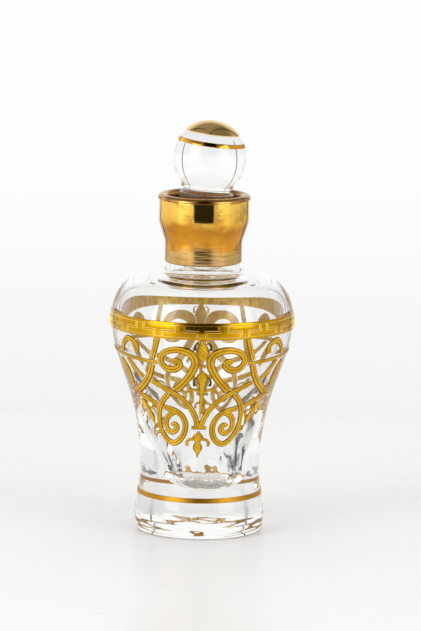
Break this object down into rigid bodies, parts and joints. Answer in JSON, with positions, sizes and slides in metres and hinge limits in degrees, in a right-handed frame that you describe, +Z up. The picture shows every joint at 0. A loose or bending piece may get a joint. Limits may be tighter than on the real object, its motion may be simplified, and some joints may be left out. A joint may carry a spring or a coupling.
{
  "type": "perfume bottle",
  "caption": "Baluster glass perfume bottle with a heavy base, gilded collar, key band and raised scrollwork, closed by a leaning glass ball stopper in a soft seal.",
  "frame": {"origin": "centre of the flat resting face under the foot", "axes": "+Z up along the bottle axis, -Y towards the front of the bottle, +X to its right"},
  "size_m": [0.0672, 0.0672, 0.1502],
  "materials": {
    "clear_glass": "clear, fire polished",
    "bright_gilding": "bright burnished gilding",
    "satin_gilding": "satin gilding",
    "raised_gilding": "raised gilding with darker edges",
    "seal_plastic": "milky translucent"
  },
  "bodies": {
    "bottle": {"back_left_band_strap": "raised_gilding", "back_left_corner_lily": "raised_gilding", "back_left_crook": "raised_gilding", "back_left_leaf": "raised_gilding", "back_left_loop": "raised_gilding", "back_left_scroll": "raised_gilding", "back_left_stem_tip": "raised_gilding", "back_left_zigzag_strap": "raised_gilding", "back_lily": "raised_gilding", "back_lozenge": "raised_gilding", "back_right_band_strap": "raised_gilding", "back_right_corner_lily": "raised_gilding", "back_right_crook": "raised_gilding", "back_right_leaf": "raised_gilding", "back_right_loop": "raised_gilding", "back_right_scroll": "raised_gilding", "back_right_stem_tip": "raised_gilding", "back_right_zigzag_strap": "raised_gilding", "back_scroll_tie": "raised_gilding", "back_spear": "raised_gilding", "back_stem_fork": "raised_gilding", "bottle_glass": "clear_glass", "foot_line": "bright_gilding", "front_left_band_strap": "raised_gilding", "front_left_corner_lily": "raised_gilding", "front_left_crook": "raised_gilding", "front_left_leaf": "raised_gilding", "front_left_loop": "raised_gilding", "front_left_scroll": "raised_gilding", "front_left_stem_tip": "raised_gilding", "front_left_zigzag_strap": "raised_gilding", "front_lily": "raised_gilding", "front_lozenge": "raised_gilding", "front_right_band_strap": "raised_gilding", "front_right_corner_lily": "raised_gilding", "front_right_crook": "raised_gilding", "front_right_leaf": "raised_gilding", "front_right_loop": "raised_gilding", "front_right_scroll": "raised_gilding", "front_right_stem_tip": "raised_gilding", "front_right_zigzag_strap": "raised_gilding", "front_scroll_tie": "raised_gilding", "front_spear": "raised_gilding", "front_stem_fork": "raised_gilding", "gilded_lip": "satin_gilding", "key_band": "raised_gilding", "left_thin_strap": "raised_gilding", "mouth_lining": "satin_gilding", "neck_collar": "bright_gilding", "right_thin_strap": "raised_gilding"},
    "seal": {"stopper_seal": "seal_plastic"},
    "stopper": {"stopper_glass": "clear_glass", "stopper_cap_gilding": "bright_gilding", "stopper_ring_gilding": "bright_gilding"}
  },
  "joints": [
    {"name": "stopper_lift", "type": "slide", "parent": "bottle", "child": "seal", "axis": [0, 0, 1], "range_m": [0, 0.03]},
    {"name": "stopper_turn", "type": "hinge", "parent": "seal", "child": "stopper", "pos_m": [0, 0, 0.1119], "axis": [0.0698, 0, 0.9976], "continuous": true}
  ]
}
